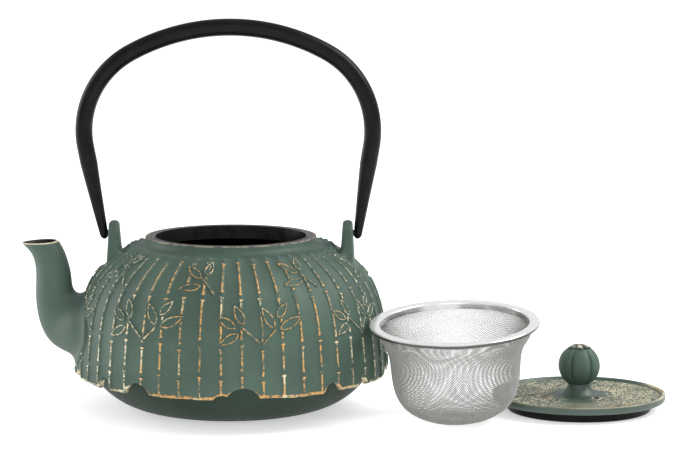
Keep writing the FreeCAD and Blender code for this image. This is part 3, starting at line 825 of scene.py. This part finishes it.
def make_weave(name, place, second):
    """One family of the basket's woven wires, pressed from a flat sheet into the bell."""
    profile = through(BELL, 400)
    length = np.concatenate([[0], np.cumsum(np.linalg.norm(np.diff(profile, axis=0), axis=1))])
    flow = np.gradient(profile, length, axis=0)
    reach = length[-1]
    count = int(reach / WIRE_PITCH)
    all_points = []
    all_faces = []
    start = 0
    for i in range(-count, count + 1):
        u = i * WIRE_PITCH
        span = math.sqrt(max(reach ** 2 - u * u, 0))
        steps = int(span / WIRE_PITCH)
        if steps < 2:
            continue
        v = np.arange(-steps, steps + 1) * WIRE_PITCH
        a, b = (v, u) if second else (u, v)
        rho = np.minimum(np.hypot(a, b), reach)
        bearing = np.degrees(np.arctan2(b + 0 * v, a + 0 * v)) + WEAVE_TURN
        r = np.interp(rho, length, profile[:, 0])
        z = np.interp(rho, length, profile[:, 1])
        nr = np.interp(rho, length, flow[:, 1])
        nz = -np.interp(rho, length, flow[:, 0])
        lift = WEAVE * np.cos(math.pi * (v / WIRE_PITCH + i)) * (-1 if second else 1) - WIRE_R - WEAVE / 2
        line = around(r + lift * nr, z + lift * nz, bearing)
        tangent = np.gradient(line, axis=0)
        tangent = tangent / np.linalg.norm(tangent, axis=-1, keepdims=True)
        normal = around(nr, nz, bearing)
        side = np.cross(tangent, normal)
        side = side / np.linalg.norm(side, axis=-1, keepdims=True)
        normal = np.cross(side, tangent)
        angle = np.arange(4) * math.pi / 2 + math.pi / 4
        ring = (line[:, None, :] + WIRE_R * (np.cos(angle)[None, :, None] * normal[:, None, :]
                                             + np.sin(angle)[None, :, None] * side[:, None, :]))
        all_points.append(ring.reshape(-1, 3))
        all_faces.append(grid_faces(len(line), 4) + start)
        start += len(line) * 4
    points = moved(np.concatenate(all_points), place)
    return piece(name, points, np.concatenate(all_faces), WIRE, "infuser", ["infuser_mesh"], "steel_mesh")


# ---- lid ----

LID_PLACE = Matrix.Translation((*LID_AT, 0))


def pebbles(x, y, size, generator):
    """Cells on a jittered grid: gap between the two nearest centres, and a number per cell."""
    half = 38
    jitter = generator.uniform(-0.42, 0.42, (2 * half + 1, 2 * half + 1, 2))
    tag = generator.uniform(0, 1, (2 * half + 1, 2 * half + 1))
    ci = np.clip(np.round(x / size).astype(int), -half + 1, half - 1)
    cj = np.clip(np.round(y / size).astype(int), -half + 1, half - 1)
    first = np.full(x.shape, 1e9)
    second = np.full(x.shape, 1e9)
    number = np.zeros(x.shape)
    for di in (-1, 0, 1):
        for dj in (-1, 0, 1):
            i, j = ci + di + half, cj + dj + half
            i, j = np.clip(i, 0, 2 * half), np.clip(j, 0, 2 * half)
            d = np.hypot(x - (i - half + jitter[i, j, 0]) * size, y - (j - half + jitter[i, j, 1]) * size)
            closer = d < first
            second = np.where(closer, first, np.minimum(second, d))
            number = np.where(closer, tag[i, j], number)
            first = np.where(closer, d, first)
    return (second - first) / size, number


def make_lid():
    """Lid plate with a raised rim, pebbled field, conical boss and vent."""
    ridge_in = LID_R - RIDGE_W
    edge = rounded([(2.0, LID_UNDER_Z, 0), (LID_R - 0.6, LID_UNDER_Z, 0.8), (LID_R, LID_EDGE[0] + 1.2, 0.8),
                    (LID_R, LID_EDGE[1], 0.7), (LID_R - 1.5, LID_EDGE[1] + 0.05, 0.6),
                    (ridge_in, LID_FIELD_Z, 0.8), (ridge_in - 0.8, LID_FIELD_Z, 0)])
    field_r = np.arange(ridge_in - 1.1, BOSS_R[0] + 2.5, -0.24)
    field = np.stack([field_r, np.full(len(field_r), LID_FIELD_Z)], axis=-1)
    boss = through([(BOSS_R[0] + 2.3, LID_FIELD_Z), (BOSS_R[0] - 0.3, LID_FIELD_Z + 0.4), (8.0, 9.9),
                    (6.7, 11.8), (BOSS_R[1], BOSS_Z)], 40)
    profile = np.concatenate([edge, field, boss, [[2.0, BOSS_Z]]])
    cols = 720
    points = turned(profile, cols)
    x, y = points[..., 0], points[..., 1]
    r = np.hypot(x, y)
    # Pebbles fill the field but for a ragged edge round the boss and a plain patch in front.
    ragged = 1.6 * np.sin(7 * np.arctan2(x, -y)) + 1.1 * np.sin(13 * np.arctan2(x, -y) + 1)
    front = np.exp(-(np.degrees(np.arctan2(x + 2, -y)) / 26) ** 4)
    on_field = smooth(r - ragged, 13.0, 17.0) * (1 - 0.9 * front)
    top_side = points[..., 2] > LID_FIELD_Z - 0.8
    on_field = on_field * (1 - smooth(r, ridge_in - 0.9, ridge_in - 0.3)) * top_side
    gap, number = pebbles(x, y, 1.4, rng)
    bead = np.sqrt(smooth(gap, 0.02, 0.5))
    points[..., 2] += on_field * (0.45 * bead * (0.5 + 0.5 * number) - 0.2)
    # Gilding along the plate's edge, on the pebbles (more of it towards +X), on the plain patch in front and
    # beside the vent; and a broad painted highlight on the rim's +X side.
    # Painted highlight: a broad cream band on the +X side of the rim.
    right_rim_highlight = smooth(x / np.maximum(r, 1), 0.75, 0.97)
    on_top = points[..., 2] > LID_EDGE[1] - 0.6
    rim = 0.55 * np.exp(-((r - LID_R + 0.4) / 0.35) ** 2) * on_top
    rim = np.maximum(rim, right_rim_highlight * np.exp(-((r - LID_R + 1.1) / 1.7) ** 2) * on_top)
    far = smooth(x, 4, 26)
    gold = on_field * smooth(bead, 0.45, 0.9) * smooth(number + 0.1 + 0.25 * far, 0.35, 0.85) + rim
    gold = gold + 0.22 * front * smooth(r, 18, 30) * (1 - smooth(r, ridge_in - 1, ridge_in))
    vent = np.hypot(x - VENT_AT[0], y - VENT_AT[1])
    sunk = (1 - smooth(vent, VENT_R - 0.35, VENT_R)) * top_side
    points[..., 2] = points[..., 2] * (1 - sunk) + (LID_UNDER_Z + 0.3) * sunk
    beside = np.exp(-((vent - VENT_R - 0.6) / 0.4) ** 2) * smooth(np.abs(x - VENT_AT[0]), 0.9, 1.7)
    gold = gold + 0.9 * beside * top_side
    # Painted shade: near black in and round the vent hole, and a little darkening on the lid's outer side.
    vent_oval = np.hypot(x - VENT_AT[0], (y - VENT_AT[1]) / 1.5)
    dark = (1 - smooth(vent_oval, VENT_R - 0.2, VENT_R + 0.1)) * top_side
    painted_side_shade = (r > LID_R - 0.3) * (1 - smooth(points[..., 2], LID_EDGE[1] - 1.0, LID_EDGE[1] - 0.4))
    dark = np.maximum(dark, 0.2 * painted_side_shade)
    look = Look("green_iron_lid", SAGE, 0.45, Specular_IOR_Level=0.6)
    base = look.mix(look.span(look.noise(0.05, 3), 0.35, 0.68), tuple(0.8 * c for c in SAGE), SAGE)
    worn = look.maths("MULTIPLY", look.span(look.noise(0.45, 4, 0.6), 0.28, 0.56, 0.3, 1.0),
                      look.span(look.noise(0.09, 2), 0.35, 0.6, 0.55, 1.0))
    amount = look.maths("MULTIPLY", look.layer("gold"), worn)
    paint = look.mix(look.span(look.noise(0.06, 2), 0.28, 0.46), GOLD, CREAM)
    base = look.mix(amount, base, paint)
    # The dark layer is painted shade in the vent and on the outer side.
    look.colour(look.mix(look.layer("dark"), base, (0.01, 0.008, 0.006)))
    look.bump(look.noise(2.2, 4, 0.6), 0.05, 0.6)
    return piece("lid_casting", moved(points, LID_PLACE), grid_faces(len(profile), cols), look.material,
                 "lid", ["lid_plate"], "green_iron", gold=np.clip(gold, 0, 1), dark=dark)


def make_knob():
    """Ball with creases between its lobes."""
    low = math.asin((BOSS_Z - KNOB_Z) / KNOB_R)
    lat = np.linspace(low, math.acos(0.93 * CALYX_R / KNOB_R), 90)[:, None]
    bearing = (np.arange(240) * 1.5)[None, :]
    step = ((bearing - LOBE_TURN) * LOBES / 360 + 0.5) % 1
    away = np.minimum(step, 1 - step) * 360 / LOBES
    # A narrow crease in a broad hollow, and one side of each lobe a little lower.
    groove = 0.11 * np.exp(-(away / 2.9) ** 2) + 0.03 * np.exp(-(away / 10) ** 2)
    swell = 1.02 - (groove + 0.035 * smooth(step, 0.6, 1.0)) * np.clip(np.cos(lat), 0, 1) ** 0.4
    r = KNOB_R * np.cos(lat) * swell
    z = KNOB_Z + KNOB_R * np.sin(lat) + 0 * bearing
    points = moved(around(r, z, bearing), LID_PLACE)
    return piece("knob_ball", points, grid_faces(len(lat), bearing.size), GREEN_PLAIN,
                 "lid", ["lid_knob"], "green_iron_smooth")


def make_calyx():
    """Short petals on the knob, curled down over the ball."""
    cols = 240
    bearing = (np.arange(cols) * 360.0 / cols)[None, :]
    petal = np.abs(np.cos(np.radians(bearing * PETALS / 2)))
    reach = CALYX_R * (0.60 + 0.40 * petal ** 0.6)
    t = np.concatenate([np.linspace(0.25, 1, 26), [1.0, 0.9, 0.5]])[:, None]
    r = t * reach
    drop = 1.1 * (t ** 2)
    raised = 0.4 * petal ** 2 * smooth(1 - t, 0.05, 0.3) - 0.5 * (1 - petal) ** 2
    z = SEAT_Z + 1.9 - drop + raised
    # The last three rows turn back under the petals to the ball.
    z[-3] = SEAT_Z - 0.1
    z[-2] = SEAT_Z - 0.3
    z[-1] = SEAT_Z - 0.4
    # Painted highlight: the petals' gilt is brighter on the petal towards the front.
    front_highlight = 0.4 + 0.6 * smooth(np.cos(np.radians(bearing)), 0.6, 0.9)
    gold = smooth(petal, 0.6, 0.9) * smooth(1 - t, 0.08, 0.3) * smooth(t, 0.3, 0.5) * front_highlight
    gold = gold * np.ones_like(z)
    gold[-3:] = 0
    line = np.maximum(smooth(t, 0.88, 0.97), 1 - smooth(petal, 0.15, 0.5)) * np.ones_like(z)
    line[-3:] = 1
    points = moved(around(r, z, bearing), LID_PLACE)
    return piece("knob_petals", points, grid_faces(len(t), cols)[:, ::-1], GILT, "lid",
                 ["knob_calyx"], "gilded_iron", gold=gold, line=line)


def make_stud():
    """Stud through the knob, with its head in the middle of the petals."""
    top = KNOB_Z + KNOB_R
    head = rounded([(2.0, SEAT_Z, 0), (2.1, SEAT_Z + 1.0, 0.4), (2.9, SEAT_Z + 1.1, 0.6),
                    (2.6, top, 1.2), (0.0, top, 0)])
    shank = np.array([(0.0, STUD_END_Z), (1.6, STUD_END_Z), (2.0, STUD_END_Z + 0.4), (2.0, SEAT_Z - 0.1)])
    profile = np.concatenate([shank, head])
    cols = 64
    return piece("knob_stud_head", turned(profile, cols, LID_PLACE), grid_faces(len(profile), cols),
                 STUD, "lid", ["knob_stud"], "stud_metal", sharp=50)


def main():
    make_dome()
    make_lip()
    make_bowl()
    make_spout()
    make_lug("lug_ear_left", -1)
    make_lug("lug_ear_right", 1)
    make_bail()
    place = basket_place()
    make_rim(place)
    make_weave("infuser_warp", place, False)
    make_weave("infuser_weft", place, True)
    make_lid()
    make_knob()
    make_calyx()
    make_stud()
    finishes = {"pot_lining": ENAMEL, "lid_flange": ENAMEL_DULL, "infuser_clamp_ring": STEEL,
                "knob_washer": STEEL, "knob_nut": STEEL}
    for name, material in finishes.items():
        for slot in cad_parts[name].material_slots:
            slot.material = material


def studio():
    """Floor, world, lights and camera."""
    floor_mesh = bpy.data.meshes.new("floor")
    floor_mesh.from_pydata([(-9, -9, 0), (9, -9, 0), (9, 9, 0), (-9, 9, 0)], [], [(0, 1, 2, 3)])
    floor_mesh.materials.append(white_floor())
    floor = bpy.data.objects.new("floor", floor_mesh)
    bpy.context.scene.collection.objects.link(floor)

    world = bpy.data.worlds.new("studio")
    world.use_nodes = True
    back = world.node_tree.nodes["Background"]
    back.inputs["Color"].default_value = (0.97, 0.98, 1.0, 1)
    back.inputs["Strength"].default_value = 0.72
    bpy.context.scene.world = world

    def soft_light(name, at, target, width, height, watts):
        light = bpy.data.lights.new(name, "AREA")
        light.shape = "RECTANGLE"
        light.size = width
        light.size_y = height
        light.energy = watts
        lamp = bpy.data.objects.new(name, light)
        lamp.location = at
        lamp.rotation_euler = (Vector(target) - Vector(at)).to_track_quat("-Z", "Y").to_euler()
        bpy.context.scene.collection.objects.link(lamp)

    soft_light("side_left", (-1.4, 0.5, 0.5), (0.0, 0.0, 0.08), 0.8, 1.0, 9)
    soft_light("side_right", (1.25, 0.05, 1.3), (0.1, 0.0, 0.08), 0.8, 1.0, 22)
    soft_light("front", (0.0, -1.9, 0.9), (0.06, 0.0, 0.05), 1.4, 0.9, 6)

    camera_data = bpy.data.cameras.new("camera")
    camera_data.lens = CAMERA_LENS
    camera_data.sensor_width = SENSOR_WIDTH
    camera = bpy.data.objects.new("camera", camera_data)
    camera.location = CAMERA_AT
    camera.rotation_euler = (math.radians(90 - CAMERA_DOWN), 0, 0)
    bpy.context.scene.collection.objects.link(camera)
    bpy.context.scene.camera = camera
    bpy.context.scene.view_settings.view_transform = "Standard"


main()
studio()
